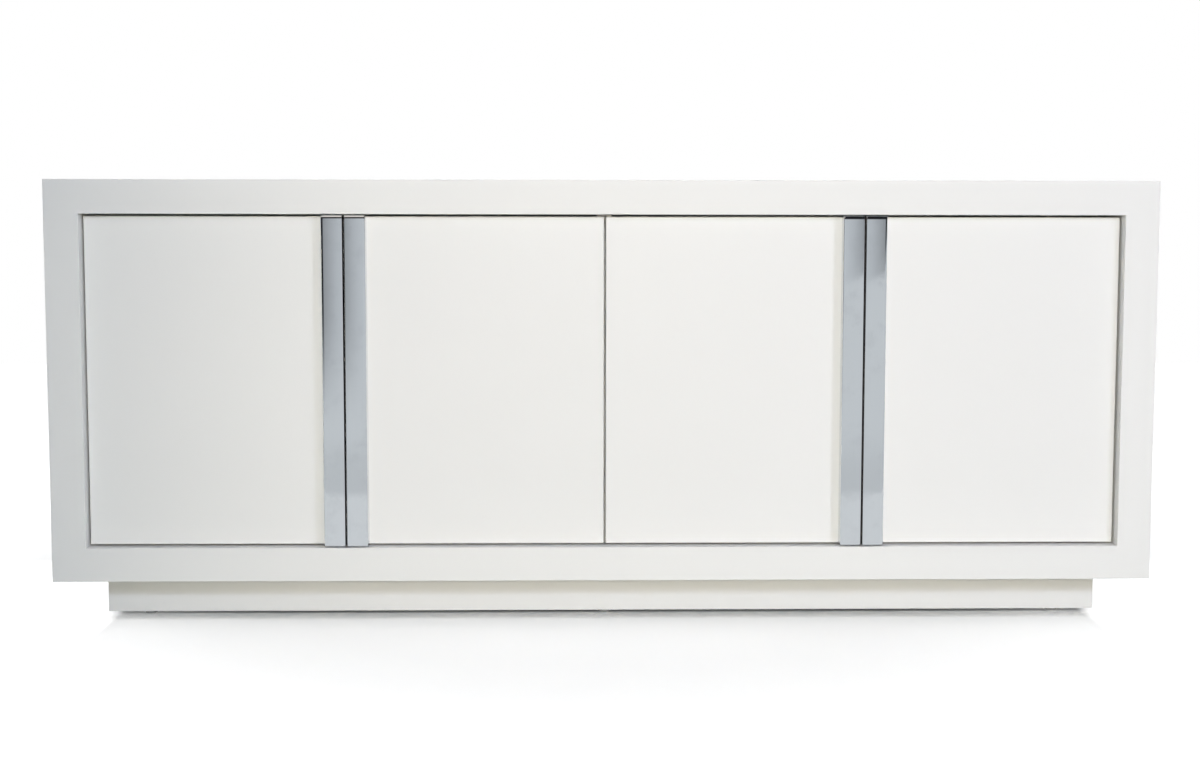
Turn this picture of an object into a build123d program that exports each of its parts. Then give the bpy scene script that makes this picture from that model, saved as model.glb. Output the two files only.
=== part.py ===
from build123d import *

import os
from dataclasses import dataclass
from math import cos, radians, sin

# Low media cabinet: a thick mitred picture-frame case on a recessed plinth, with four
# flush doors set back in the opening, two shelved bays and full-height bar pulls.
# Frame: +Z up, the front faces -Y, origin on the floor under the middle of the case.
# All sizes are millimetres.

# Case: four mitred slabs
case_width = 1829.0
case_depth = 457.0
case_height = 663.0
slab_thickness = 56.0
case_edge_radius = 1.0

# Back panel, screwed into a rabbet in the slabs
back_thickness = 8.0
back_rabbet = 14.0
back_inset = 4.0
back_edge_gap = 0.5
back_screw_rows = 2
back_screw_columns = 3
back_screw_bite = 14.0

# Cable ports in the back panel and their grommets
port_diameter = 60.0
port_height = 140.0
grommet_wall = 4.0
grommet_lip = 5.0
grommet_lip_thickness = 2.0

# Centre partition
partition_thickness = 25.0
partition_setback = 14.0

# Dowels in the mitres and at the partition's ends
dowel_diameter = 10.0
dowel_length = 44.0
dowel_count = 3
dowel_end_room = 1.0
dowel_margin = 80.0

# Shelves on pins
shelf_thickness = 18.0
shelf_side_gap = 1.5
shelf_setback = 24.0
shelf_rear_gap = 25.0
pin_diameter = 5.0
pin_bore_depth = 9.0
pin_reach = 8.0
pin_column_inset = 60.0
pin_row_pitch = 64.0
pin_row_count = 3

# Plinth and what it stands on
plinth_height = 65.0
plinth_inset = 72.0
plinth_back_inset = 30.0
plinth_thickness = 22.0
plinth_edge_radius = 1.0
corner_block_size = 40.0
corner_block_height = 45.0
plinth_screw_bite = 22.0
glide_height = 4.0
glide_diameter = 20.0
glide_edge_radius = 1.0
glide_corner_distance = 70.0
glide_nail_diameter = 3.0
glide_nail_length = 14.0

# Doors
door_count = 4
door_thickness = 20.0
door_recess = 20.0
door_gap = 3.2
door_edge_radius = 2.0

# Bar pulls
pull_width = 34.2
pull_front_setback = 0.4
pull_side_setback = 0.1
pull_overhang = 2.2
pull_wall = 2.5
pull_edge_radius = 1.0
pull_boss_diameter = 11.0
pull_boss_end_distance = 60.0
pull_screw_bite = 12.0

# Cup hinges
hinge_end_distance = 90.0
hinge_axis_inset = 24.0
hinge_axis_depth = 9.5
cup_diameter = 35.0
cup_edge_distance = 5.0
cup_depth = 14.5
cup_wall = 0.8
cup_flange_length = 62.0
cup_flange_width = 18.0
cup_flange_thickness = 1.2
cup_flange_radius = 3.0
cup_screw_spacing = 48.0
cup_screw_length = 12.0
cheek_thickness = 3.0
cheek_half_width = 4.0
cheek_cover = 3.5
hinge_pin_diameter = 3.0
hinge_pin_head = 0.7
arm_width = 10.0
arm_thickness = 2.2
arm_eye_wall = 1.1
arm_neck_angle = 45.0
arm_neck_length = 22.6
arm_cross_distance = 29.0
plate_thickness = 4.0
plate_length = 36.0
plate_height = 48.0
plate_screw_spacing = 32.0
plate_edge_radius = 1.5
hinge_screw_bite = 11.0

# Magnetic catches under the case top
catch_width = 62.0
catch_depth = 18.0
catch_height = 16.0
magnet_width = 22.0
magnet_height = 8.0
magnet_depth = 6.0
strike_width = 24.0
strike_height = 26.0
strike_thickness = 1.5
strike_end_distance = 4.0
strike_screw_distance = 8.0
strike_screw_length = 12.0
strike_gap = 0.3
catch_screw_bite = 12.0

# Screws: small wood screws, long wood screws and machine screws
wood_screw_diameter = 3.5
wood_screw_head_diameter = 7.0
wood_screw_head_height = 2.2
long_screw_diameter = 5.0
long_screw_head_diameter = 10.0
long_screw_head_height = 3.0
machine_screw_diameter = 4.0
machine_screw_head_diameter = 8.0
machine_screw_head_height = 2.6

# Fits
fixed_fit = 0.05
running_fit = 0.05
arm_side_play = 0.2
cut_over = 1.0
edge_tolerance = 0.01

# Places that follow from the sizes above
front_y = -case_depth / 2
back_y = case_depth / 2
case_low = glide_height + plinth_height
case_high = case_low + case_height
half_width = case_width / 2
half_opening = half_width - slab_thickness
opening_low = case_low + slab_thickness
opening_high = case_high - slab_thickness
opening_middle = (opening_low + opening_high) / 2
back_front_y = back_y - back_inset - back_thickness
back_rear_y = back_y - back_inset
door_front_y = front_y + door_recess
door_back_y = door_front_y + door_thickness
door_low = opening_low + door_gap
door_high = opening_high - door_gap
door_width = (2 * half_opening - (door_count + 1) * door_gap) / door_count
partition_front_y = door_back_y + partition_setback
hinge_axis_y = door_front_y + hinge_axis_depth
cup_centre = cup_edge_distance + cup_diameter / 2
pull_length = door_high - door_low + 2 * pull_overhang
pull_outer_edge = door_width - pull_side_setback
pull_middle = pull_outer_edge - pull_width / 2
bay_middle = (half_opening + partition_thickness / 2) / 2
plinth_half_x = half_width - plinth_inset
plinth_front_y = front_y + plinth_inset
plinth_rear_y = back_y - plinth_back_inset

FRONTWARD = (0, -1, 0)
BACKWARD = (0, 1, 0)
UPWARD = (0, 0, 1)


@dataclass(frozen=True)
class ScrewSize:
    """Shank and head of one kind of screw."""

    diameter: float
    head_diameter: float
    head_height: float


WOOD_SCREW = ScrewSize(wood_screw_diameter, wood_screw_head_diameter, wood_screw_head_height)
LONG_SCREW = ScrewSize(long_screw_diameter, long_screw_head_diameter, long_screw_head_height)
MACHINE_SCREW = ScrewSize(
    machine_screw_diameter, machine_screw_head_diameter, machine_screw_head_height
)


@dataclass(frozen=True)
class Door:
    """One door, drawn with its hinge edge at x = 0 and its free edge towards +X."""

    name: str
    hinge_edge_x: float
    reach: int
    wall_face: float

    def place(self, shape):
        """Move a shape drawn in the door's own frame to the door's place in the case."""
        turned = shape if self.reach > 0 else mirror(shape, Plane.YZ)
        return Pos(self.hinge_edge_x, 0, 0) * turned


SIDE_WALL_FACE = -door_gap
PARTITION_FACE = (partition_thickness - door_gap) / 2
DOORS = (
    Door("left_outer", -half_opening + door_gap, 1, SIDE_WALL_FACE),
    Door("left_inner", -door_gap / 2, -1, PARTITION_FACE),
    Door("right_inner", door_gap / 2, 1, PARTITION_FACE),
    Door("right_outer", half_opening - door_gap, -1, SIDE_WALL_FACE),
)


def block(x_limits, y_limits, z_limits):
    """Box between two limits on each axis."""
    spans = [max(limits) - min(limits) for limits in (x_limits, y_limits, z_limits)]
    corner = Pos(min(x_limits), min(y_limits), min(z_limits))
    return corner * Box(*spans, align=(Align.MIN, Align.MIN, Align.MIN))


def rod(radius, length, start, direction):
    """Cylinder that runs from a start point along a direction."""
    along = Plane(origin=start, z_dir=direction)
    return along * Cylinder(radius, length, align=(Align.CENTER, Align.CENTER, Align.MIN))


def screw(size, seat, direction, length):
    """Screw whose head stands on the seat point and whose shank runs along the direction."""
    backwards = tuple(-part for part in direction)
    head = rod(size.head_diameter / 2, size.head_height, seat, backwards)
    return head + rod(size.diameter / 2, length, seat, direction)


def screw_bore(size, seat, direction, length):
    """Clearance hole for a screw's shank, a little longer than the shank."""
    return rod(size.diameter / 2 + fixed_fit, length + fixed_fit, seat, direction)


def spread(low, high, count):
    """Evenly spaced values from low to high, both included."""
    step = (high - low) / (count - 1)
    return [low + step * index for index in range(count)]


def prism(plane, corners, length):
    """Straight prism over a polygon, half of its length each side of the plane."""
    outline = plane * Polygon(*corners, align=None)
    return extrude(outline, amount=length / 2, both=True)


def cut_all(body, cutters):
    """Body with every cutter taken out of it."""
    for cutter in cutters:
        body = body - cutter
    return body


# Dowels


def dowel_axes():
    """Centre and direction of every dowel: three across each mitre, three per partition end."""
    axes = []
    mitre_x = half_width - slab_thickness / 2
    mitre_low = case_low + slab_thickness / 2
    mitre_high = case_high - slab_thickness / 2
    for y in spread(front_y + dowel_margin, back_y - dowel_margin, dowel_count):
        for side in (-1, 1):
            axes.append(((side * mitre_x, y, mitre_low), (side, 0, 1)))
            axes.append(((side * mitre_x, y, mitre_high), (side, 0, -1)))
    first = partition_front_y + dowel_margin
    for y in spread(first, back_front_y - dowel_margin, dowel_count):
        for z in (opening_low, opening_high):
            axes.append(((0, y, z), UPWARD))
    return axes


def dowel_rods(radius, length):
    """Rods of one radius and length, centred on every dowel's place."""
    rods = []
    for centre, direction in dowel_axes():
        along = Plane(origin=centre, z_dir=direction)
        rods.append(along * Cylinder(radius, length))
    return rods


def dowel_bores():
    """Bores for the dowels."""
    return dowel_rods(dowel_diameter / 2 + fixed_fit, dowel_length + 2 * dowel_end_room)


# Shelf pins


def shelf_limits_y():
    """Front and rear edges of a shelf."""
    return door_back_y + shelf_setback, back_front_y - shelf_rear_gap


def pin_columns():
    """Distances of the two pin columns along the depth."""
    shelf_front, shelf_rear = shelf_limits_y()
    return shelf_front + pin_column_inset, shelf_rear - pin_column_inset


def pin_rows():
    """Heights of the pin rows; the middle one carries the shelf."""
    half_span = pin_row_pitch * (pin_row_count - 1) / 2
    return spread(opening_middle - half_span, opening_middle + half_span, pin_row_count)


def bay_walls():
    """Faces that carry shelf pins: the face's x and the direction into its bay."""
    half_partition = partition_thickness / 2
    return ((-half_opening, 1), (-half_partition, -1), (half_partition, 1), (half_opening, -1))


def pin_bores():
    """Bores for shelf pins in the side slabs and in both faces of the partition."""
    radius = pin_diameter / 2 + fixed_fit
    bores = []
    for face_x, inward in bay_walls():
        for y in pin_columns():
            for z in pin_rows():
                bores.append(rod(radius, pin_bore_depth, (face_x, y, z), (-inward, 0, 0)))
    return bores


def shelf_pins():
    """Pins under both shelves."""
    pins = []
    for face_x, inward in bay_walls():
        for y in pin_columns():
            start = (face_x - inward * pin_bore_depth, y, opening_middle)
            pins.append(rod(pin_diameter / 2, pin_bore_depth + pin_reach, start, (inward, 0, 0)))
    return pins


def shelf(side):
    """Loose shelf of one bay, resting on its four pins."""
    outer_x = side * (half_opening - shelf_side_gap)
    inner_x = side * (partition_thickness / 2 + shelf_side_gap)
    underside = opening_middle + pin_diameter / 2
    return block((outer_x, inner_x), shelf_limits_y(), (underside, underside + shelf_thickness))


# Hinges: everything is drawn in a door's own frame


def hinge_heights():
    """Heights of a door's two hinges."""
    return door_low + hinge_end_distance, door_high - hinge_end_distance


def cup_body_radius():
    """Outer radius of the cup."""
    return cup_diameter / 2


def cup_flange(z, growth):
    """Flange of a cup, let into the door's back face."""
    y_limits = (door_back_y - cup_flange_thickness, door_back_y)
    half_width_u = cup_flange_width / 2 + growth
    half_length_z = cup_flange_length / 2 + growth
    x_limits = (cup_centre - half_width_u, cup_centre + half_width_u)
    flange = block(x_limits, y_limits, (z - half_length_z, z + half_length_z))
    return fillet(flange.edges().filter_by(Axis.Y), cup_flange_radius)


def cup_bore(z):
    """Bore and flange recess that a cup fits in."""
    seat = (cup_centre, door_back_y, z)
    bore = rod(cup_body_radius() + fixed_fit, cup_depth + fixed_fit, seat, FRONTWARD)
    return bore + cup_flange(z, fixed_fit)


def cup_screw_seats():
    """Seats of the screws that hold the cups."""
    return [
        (cup_centre, door_back_y, z + offset)
        for z in hinge_heights()
        for offset in (-cup_screw_spacing / 2, cup_screw_spacing / 2)
    ]


def hinge_cup(z):
    """Pressed cup with its flange and the two cheeks that hold the pin."""
    seat = (cup_centre, door_back_y, z)
    shell = rod(cup_body_radius(), cup_depth, seat, FRONTWARD)
    shell += cup_flange(z, 0)
    shell -= rod(cup_body_radius() - cup_wall, cup_depth - cup_wall, seat, FRONTWARD)
    floor_y = door_back_y - cup_depth + cup_wall
    cheek_x = (hinge_axis_inset - cheek_half_width, hinge_axis_inset + cheek_half_width)
    cheek_y = (floor_y - cup_wall / 2, hinge_axis_y + cheek_cover)
    inner = arm_width / 2 + arm_side_play
    for side in (-1, 1):
        cheek_z = (z + side * inner, z + side * (inner + cheek_thickness))
        shell += block(cheek_x, cheek_y, cheek_z)
    reach = inner + cheek_thickness + cut_over
    pin_start = (hinge_axis_inset, hinge_axis_y, z - reach)
    shell -= rod(hinge_pin_diameter / 2 + fixed_fit, 2 * reach, pin_start, UPWARD)
    bores = [screw_bore(WOOD_SCREW, spot, FRONTWARD, cup_screw_length) for spot in cup_screw_seats()]
    return cut_all(shell, bores)


def hinge_pin(z):
    """Pin between the cheeks of a cup, with a head at each end."""
    half_length = arm_width / 2 + arm_side_play + cheek_thickness
    shank_start = (hinge_axis_inset, hinge_axis_y, z - half_length)
    pin = rod(hinge_pin_diameter / 2, 2 * half_length, shank_start, UPWARD)
    for side in (-1, 1):
        head_start = (hinge_axis_inset, hinge_axis_y, z + side * half_length)
        pin += rod(hinge_pin_diameter / 2 + hinge_pin_head, hinge_pin_head, head_start, (0, 0, side))
    return pin


def plate_limits_y():
    """Front and rear ends of a hinge plate on the wall."""
    front = hinge_axis_y + arm_cross_distance + arm_thickness / 2
    return front, front + plate_length


def hinge_screw_seats(wall_face):
    """Seats of the screws of one door's hinges: two per plate and one per arm."""
    plate_face = wall_face + plate_thickness
    middle_y = sum(plate_limits_y()) / 2
    seats = []
    for z in hinge_heights():
        for side in (-1, 1):
            seats.append((plate_face, middle_y, z + side * plate_screw_spacing / 2))
        seats.append((plate_face + arm_thickness, middle_y, z))
    return seats


def hinge_screw_length(seat, wall_face):
    """Length of a hinge screw, from its seat to its tip in the wall."""
    return seat[0] - wall_face + hinge_screw_bite


def hinge_screw_bores(wall_face):
    """Bores of one door's hinge screws."""
    return [
        screw_bore(WOOD_SCREW, seat, (-1, 0, 0), hinge_screw_length(seat, wall_face))
        for seat in hinge_screw_seats(wall_face)
    ]


def hinge_plate(wall_face, z):
    """Mounting plate on the wall that carries an arm."""
    z_limits = (z - plate_height / 2, z + plate_height / 2)
    plate = block((wall_face, wall_face + plate_thickness), plate_limits_y(), z_limits)
    plate = fillet(plate.edges().filter_by(Axis.X), plate_edge_radius)
    return cut_all(plate, hinge_screw_bores(wall_face))


def strip_outline(points, thickness):
    """Flat outline of a bent strip of one thickness that follows straight runs."""
    outline = Sketch()
    for start, end in zip(points, points[1:]):
        run = Vector(*end) - Vector(*start)
        middle = (Vector(*start) + Vector(*end)) / 2
        angle = Vector(1, 0).get_signed_angle(run, Vector(0, 0, 1))
        outline += Pos(middle.X, middle.Y) * Rot(0, 0, angle) * Rectangle(run.length, thickness)
    for corner in points[1:-1]:
        outline += Pos(*corner) * Circle(thickness / 2)
    return outline


def hinge_arm(wall_face, z):
    """Bent arm from the plate round the door's hinge end to the pin."""
    eye = (hinge_axis_inset, hinge_axis_y)
    neck = radians(arm_neck_angle)
    bend = (eye[0] + arm_neck_length * cos(neck), eye[1] + arm_neck_length * sin(neck))
    cross_y = hinge_axis_y + arm_cross_distance
    strip_x = wall_face + plate_thickness + arm_thickness / 2
    rear_y = plate_limits_y()[1]
    points = [eye, bend, (bend[0], cross_y), (strip_x, cross_y), (strip_x, rear_y)]
    outline = strip_outline(points, arm_thickness)
    bore_radius = hinge_pin_diameter / 2 + running_fit
    outline += Pos(*eye) * Circle(bore_radius + arm_eye_wall)
    outline -= Pos(*eye) * Circle(bore_radius)
    low = Plane.XY.offset(z - arm_width / 2)
    arm = extrude(low * outline, amount=arm_width)
    return cut_all(arm, hinge_screw_bores(wall_face))


# Door parts


def strike_screw_seat():
    """Seat of the strike plate's screw."""
    strike_x = door_width - strike_end_distance - strike_width / 2
    strike_low = door_high - strike_end_distance - strike_height
    return strike_x, door_back_y + strike_thickness, strike_low + strike_screw_distance


def strike_plate():
    """Steel plate on the door's back that meets the catch's magnet."""
    x_high = door_width - strike_end_distance
    z_high = door_high - strike_end_distance
    y_limits = (door_back_y, door_back_y + strike_thickness)
    plate = block((x_high - strike_width, x_high), y_limits, (z_high - strike_height, z_high))
    return plate - strike_bore()


def strike_bore():
    """Bore of the strike plate's screw."""
    return screw_bore(WOOD_SCREW, strike_screw_seat(), FRONTWARD, strike_screw_length)


def pull_screw_seats():
    """Seats of the pull's screws on the door's back."""
    low = door_low + pull_boss_end_distance
    high = door_high - pull_boss_end_distance
    return [(pull_middle, door_back_y, z) for z in (low, (low + high) / 2, high)]


def pull_bores():
    """Bores of the pull's screws, through the door and into the pull's bosses."""
    length = door_thickness + pull_screw_bite
    return [screw_bore(MACHINE_SCREW, seat, FRONTWARD, length) for seat in pull_screw_seats()]


def door_panel():
    """Flat door with eased edges and the bores for its fittings."""
    y_limits = (door_front_y, door_back_y)
    panel = block((0, door_width), y_limits, (door_low, door_high))
    panel = fillet(panel.edges(), door_edge_radius)
    bores = [cup_bore(z) for z in hinge_heights()]
    bores += [
        screw_bore(WOOD_SCREW, seat, FRONTWARD, cup_screw_length) for seat in cup_screw_seats()
    ]
    bores += pull_bores() + [strike_bore()]
    return cut_all(panel, bores)


def pull_bar():
    """Hollow rectangular bar, open towards the door, with a boss for each screw."""
    x_limits = (pull_outer_edge - pull_width, pull_outer_edge)
    y_limits = (front_y + pull_front_setback, door_front_y)
    z_limits = (door_low - pull_overhang, door_high + pull_overhang)
    bar = block(x_limits, y_limits, z_limits)
    outer_edges = bar.edges().group_by(Axis.Y)[:-1]
    bar = fillet([edge for group in outer_edges for edge in group], pull_edge_radius)
    bar -= block(
        (x_limits[0] + pull_wall, x_limits[1] - pull_wall),
        (y_limits[0] + pull_wall, y_limits[1] + cut_over),
        (z_limits[0] + pull_wall, z_limits[1] - pull_wall),
    )
    boss_length = y_limits[1] - y_limits[0] - pull_wall / 2
    for seat in pull_screw_seats():
        start = (seat[0], door_front_y, seat[2])
        bar += rod(pull_boss_diameter / 2, boss_length, start, FRONTWARD)
    return cut_all(bar, pull_bores())


def door_parts(door):
    """Every node of one door that swings with it."""
    pull_screw_length = door_thickness + pull_screw_bite
    fixings = [screw(WOOD_SCREW, seat, FRONTWARD, cup_screw_length) for seat in cup_screw_seats()]
    fixings.append(screw(WOOD_SCREW, strike_screw_seat(), FRONTWARD, strike_screw_length))
    pull_screws = [
        screw(MACHINE_SCREW, seat, FRONTWARD, pull_screw_length) for seat in pull_screw_seats()
    ]
    groups = {
        "door_panel": [door_panel()],
        "pull": [pull_bar()],
        "pull_screws": pull_screws,
        "hinge_cups": [hinge_cup(z) for z in hinge_heights()],
        "hinge_pins": [hinge_pin(z) for z in hinge_heights()],
        "door_screws": fixings,
        "strike_plate": [strike_plate()],
    }
    return {
        f"{door.name}_{part}": [door.place(shape) for shape in shapes]
        for part, shapes in groups.items()
    }


def wall_parts(door):
    """Hinge plates and arms that carry one door and stay on the case."""
    plates = [hinge_plate(door.wall_face, z) for z in hinge_heights()]
    arms = [hinge_arm(door.wall_face, z) for z in hinge_heights()]
    return {
        f"{door.name}_hinge_plates": [door.place(plate) for plate in plates],
        f"{door.name}_hinge_arms": [door.place(arm) for arm in arms],
    }


def all_hinge_screws():
    """Wood screws of every hinge plate and arm."""
    return [
        door.place(
            screw(WOOD_SCREW, seat, (-1, 0, 0), hinge_screw_length(seat, door.wall_face))
        )
        for door in DOORS
        for seat in hinge_screw_seats(door.wall_face)
    ]


def all_hinge_bores():
    """Bores of every hinge screw, in the case's frame."""
    return [door.place(bore) for door in DOORS for bore in hinge_screw_bores(door.wall_face)]


# Magnetic catches


def catch_centres():
    """Places along X where two doors meet at their free edges."""
    return -half_opening / 2, half_opening / 2


def catch_front_y():
    """Front face of the catches, just behind the strike plates."""
    return door_back_y + strike_thickness + strike_gap


def magnet_blocks(growth):
    """The two magnets of each catch, let into its front face."""
    magnets = []
    low = opening_high - catch_height / 2 - magnet_height / 2
    offset = door_gap / 2 + strike_end_distance + strike_width / 2
    for centre in catch_centres():
        for side in (-1, 1):
            middle = centre + side * offset
            magnets.append(
                block(
                    (middle - magnet_width / 2 - growth, middle + magnet_width / 2 + growth),
                    (catch_front_y(), catch_front_y() + magnet_depth + growth),
                    (low - growth, low + magnet_height + growth),
                )
            )
    return magnets


def catch_screw_places():
    """Seats of the screws that hold the catches up against the case top."""
    y = catch_front_y() + (magnet_depth + catch_depth) / 2
    offset = catch_width / 2 - wood_screw_head_diameter
    low = opening_high - catch_height
    return [(centre + side * offset, y, low) for centre in catch_centres() for side in (-1, 1)]


def catch_bores():
    """Bores of the catch screws."""
    length = catch_height + catch_screw_bite
    return [screw_bore(WOOD_SCREW, seat, UPWARD, length) for seat in catch_screw_places()]


def catch_housings():
    """Plastic housings of the catches."""
    y_limits = (catch_front_y(), catch_front_y() + catch_depth)
    z_limits = (opening_high - catch_height, opening_high)
    housings = []
    for centre in catch_centres():
        housing = block((centre - catch_width / 2, centre + catch_width / 2), y_limits, z_limits)
        housings.append(cut_all(housing, magnet_blocks(fixed_fit) + catch_bores()))
    return housings


# Back panel


def port_places():
    """Centres of the cable ports, on the back panel's front face."""
    z = opening_low + port_height
    return [(side * bay_middle, back_front_y, z) for side in (-1, 1)]


def back_screw_seats():
    """Seats of the back panel's screws, round its edge and down the partition."""
    edge_x = half_opening + back_rabbet / 2
    edge_low = opening_low - back_rabbet / 2
    edge_high = opening_high + back_rabbet / 2
    columns = spread(-bay_middle, bay_middle, back_screw_columns)
    rows = spread(opening_low + port_height, opening_high - port_height, back_screw_rows)
    seats = [(x, back_rear_y, z) for x in columns for z in (edge_low, edge_high)]
    seats += [(x, back_rear_y, z) for x in (-edge_x, 0, edge_x) for z in rows]
    return seats


def back_bores():
    """Bores of the back panel's screws."""
    length = back_thickness + back_screw_bite
    return [screw_bore(WOOD_SCREW, seat, FRONTWARD, length) for seat in back_screw_seats()]


def back_panel():
    """Back panel with two cable ports."""
    reach = back_rabbet - back_edge_gap
    x_limits = (-half_opening - reach, half_opening + reach)
    z_limits = (opening_low - reach, opening_high + reach)
    panel = block(x_limits, (back_front_y, back_rear_y), z_limits)
    ports = [rod(port_diameter / 2, back_thickness, place, BACKWARD) for place in port_places()]
    return cut_all(panel, ports + back_bores())


def cable_grommet(place):
    """Plastic ring through a cable port, with a lip on the rear face."""
    radius = port_diameter / 2 - fixed_fit
    ring = rod(radius, back_thickness, place, BACKWARD)
    rear = (place[0], back_rear_y, place[2])
    ring += rod(radius + grommet_lip, grommet_lip_thickness, rear, BACKWARD)
    length = back_thickness + grommet_lip_thickness
    return ring - rod(radius - grommet_wall, length, place, BACKWARD)


# Case


def case_ring():
    """The four slabs before they are cut apart at the mitres."""
    outer = block((-half_width, half_width), (front_y, back_y), (case_low, case_high))
    ring = fillet(outer.edges(), case_edge_radius)
    through_y = (front_y - cut_over, back_y + cut_over)
    ring -= block((-half_opening, half_opening), through_y, (opening_low, opening_high))
    rim = [
        edge
        for edge in ring.edges().group_by(Axis.Y)[0]
        if abs(edge.center().X) < half_opening + edge_tolerance
        and opening_low - edge_tolerance < edge.center().Z < opening_high + edge_tolerance
    ]
    ring = fillet(rim, case_edge_radius)
    rabbet_x = half_opening + back_rabbet
    rabbet_z = (opening_low - back_rabbet, opening_high + back_rabbet)
    return ring - block((-rabbet_x, rabbet_x), (back_front_y, back_y + cut_over), rabbet_z)


def mitre_quarter(first, second, third, fourth):
    """Prism between an outer edge of the case and the matching edge of its opening."""
    return prism(Plane.XZ, (first, second, third, fourth), case_depth + 2 * cut_over)


def case_slabs():
    """Top, bottom and side slabs with their mitres and bores."""
    low_left, low_right = (-half_width, case_low), (half_width, case_low)
    high_left, high_right = (-half_width, case_high), (half_width, case_high)
    in_low_left, in_low_right = (-half_opening, opening_low), (half_opening, opening_low)
    in_high_left, in_high_right = (-half_opening, opening_high), (half_opening, opening_high)
    quarters = {
        "case_top": mitre_quarter(high_left, high_right, in_high_right, in_high_left),
        "case_bottom": mitre_quarter(low_left, low_right, in_low_right, in_low_left),
        "case_left_side": mitre_quarter(low_left, in_low_left, in_high_left, high_left),
        "case_right_side": mitre_quarter(low_right, in_low_right, in_high_right, high_right),
    }
    bores = dowel_bores() + pin_bores() + all_hinge_bores() + back_bores()
    bores += catch_bores() + plinth_screw_bores()
    ring = cut_all(case_ring(), bores)
    return {name: [ring & quarter] for name, quarter in quarters.items()}


def centre_partition():
    """Upright between the two bays; the inner doors hang on it."""
    half_partition = partition_thickness / 2
    x_limits = (-half_partition, half_partition)
    upright = block(x_limits, (partition_front_y, back_front_y), (opening_low, opening_high))
    return cut_all(upright, dowel_bores() + pin_bores() + all_hinge_bores() + back_bores())


# Plinth


def corner_block_places():
    """Inner corners of the plinth with the directions that point into it."""
    inner_x = plinth_half_x - plinth_thickness
    return [
        (side * inner_x, y, -side, inward)
        for side in (-1, 1)
        for y, inward in (
            (plinth_front_y + plinth_thickness, 1),
            (plinth_rear_y - plinth_thickness, -1),
        )
    ]


def corner_blocks():
    """Glue blocks in the plinth's corners."""
    z_limits = (case_low - corner_block_height, case_low)
    blocks = []
    for x, y, inward_x, inward_y in corner_block_places():
        x_limits = (x, x + inward_x * corner_block_size)
        y_limits = (y, y + inward_y * corner_block_size)
        blocks.append(cut_all(block(x_limits, y_limits, z_limits), plinth_screw_bores()))
    return blocks


def plinth_screw_seats():
    """Seats of the screws that hold the plinth up to the case."""
    half_block = corner_block_size / 2
    low = case_low - corner_block_height
    return [
        (x + inward_x * half_block, y + inward_y * half_block, low)
        for x, y, inward_x, inward_y in corner_block_places()
    ]


def plinth_screw_bores():
    """Bores of the plinth's screws."""
    length = corner_block_height + plinth_screw_bite
    return [screw_bore(LONG_SCREW, seat, UPWARD, length) for seat in plinth_screw_seats()]


def glide_places():
    """Places of the floor glides under the front and rear rails."""
    reach = plinth_half_x - glide_corner_distance
    half_rail = plinth_thickness / 2
    rails = (plinth_front_y + half_rail, plinth_rear_y - half_rail)
    return [(x, y, glide_height) for x in (-reach, 0, reach) for y in rails]


def floor_glide(place):
    """Nail-in glide: a round foot under the rail with a nail up into it."""
    x, y, z = place
    foot = rod(glide_diameter / 2, glide_height, (x, y, z), (0, 0, -1))
    foot = fillet(foot.edges().group_by(Axis.Z)[0], glide_edge_radius)
    return foot + rod(glide_nail_diameter / 2, glide_nail_length, place, UPWARD)


def glide_bores():
    """Nail holes in the rails."""
    radius = glide_nail_diameter / 2 + fixed_fit
    return [rod(radius, glide_nail_length + fixed_fit, place, UPWARD) for place in glide_places()]


def plinth_rails():
    """Front, rear and side rails, mitred at the corners."""
    inner_x = plinth_half_x - plinth_thickness
    inner_front = plinth_front_y + plinth_thickness
    inner_rear = plinth_rear_y - plinth_thickness
    z_limits = (glide_height, case_low)
    outer = block((-plinth_half_x, plinth_half_x), (plinth_front_y, plinth_rear_y), z_limits)
    ring = fillet(outer.edges().filter_by(Axis.Z), plinth_edge_radius)
    inner_z = (glide_height - cut_over, case_low + cut_over)
    ring -= block((-inner_x, inner_x), (inner_front, inner_rear), inner_z)
    ring = cut_all(ring, glide_bores())
    near_left, near_right = (-plinth_half_x, plinth_front_y), (plinth_half_x, plinth_front_y)
    far_left, far_right = (-plinth_half_x, plinth_rear_y), (plinth_half_x, plinth_rear_y)
    in_near_left, in_near_right = (-inner_x, inner_front), (inner_x, inner_front)
    in_far_left, in_far_right = (-inner_x, inner_rear), (inner_x, inner_rear)
    quarters = {
        "plinth_front_rail": (near_left, near_right, in_near_right, in_near_left),
        "plinth_rear_rail": (far_left, far_right, in_far_right, in_far_left),
        "plinth_left_rail": (near_left, in_near_left, in_far_left, far_left),
        "plinth_right_rail": (near_right, in_near_right, in_far_right, far_right),
    }
    span = 2 * case_low
    return {
        name: [ring & prism(Plane.XY, corners, span)] for name, corners in quarters.items()
    }


def plinth_brace():
    """Cross brace between the front and rear rails, under the middle of the case."""
    y_limits = (plinth_front_y + plinth_thickness, plinth_rear_y - plinth_thickness)
    half_brace = plinth_thickness / 2
    return block((-half_brace, half_brace), y_limits, (glide_height, case_low))


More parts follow.
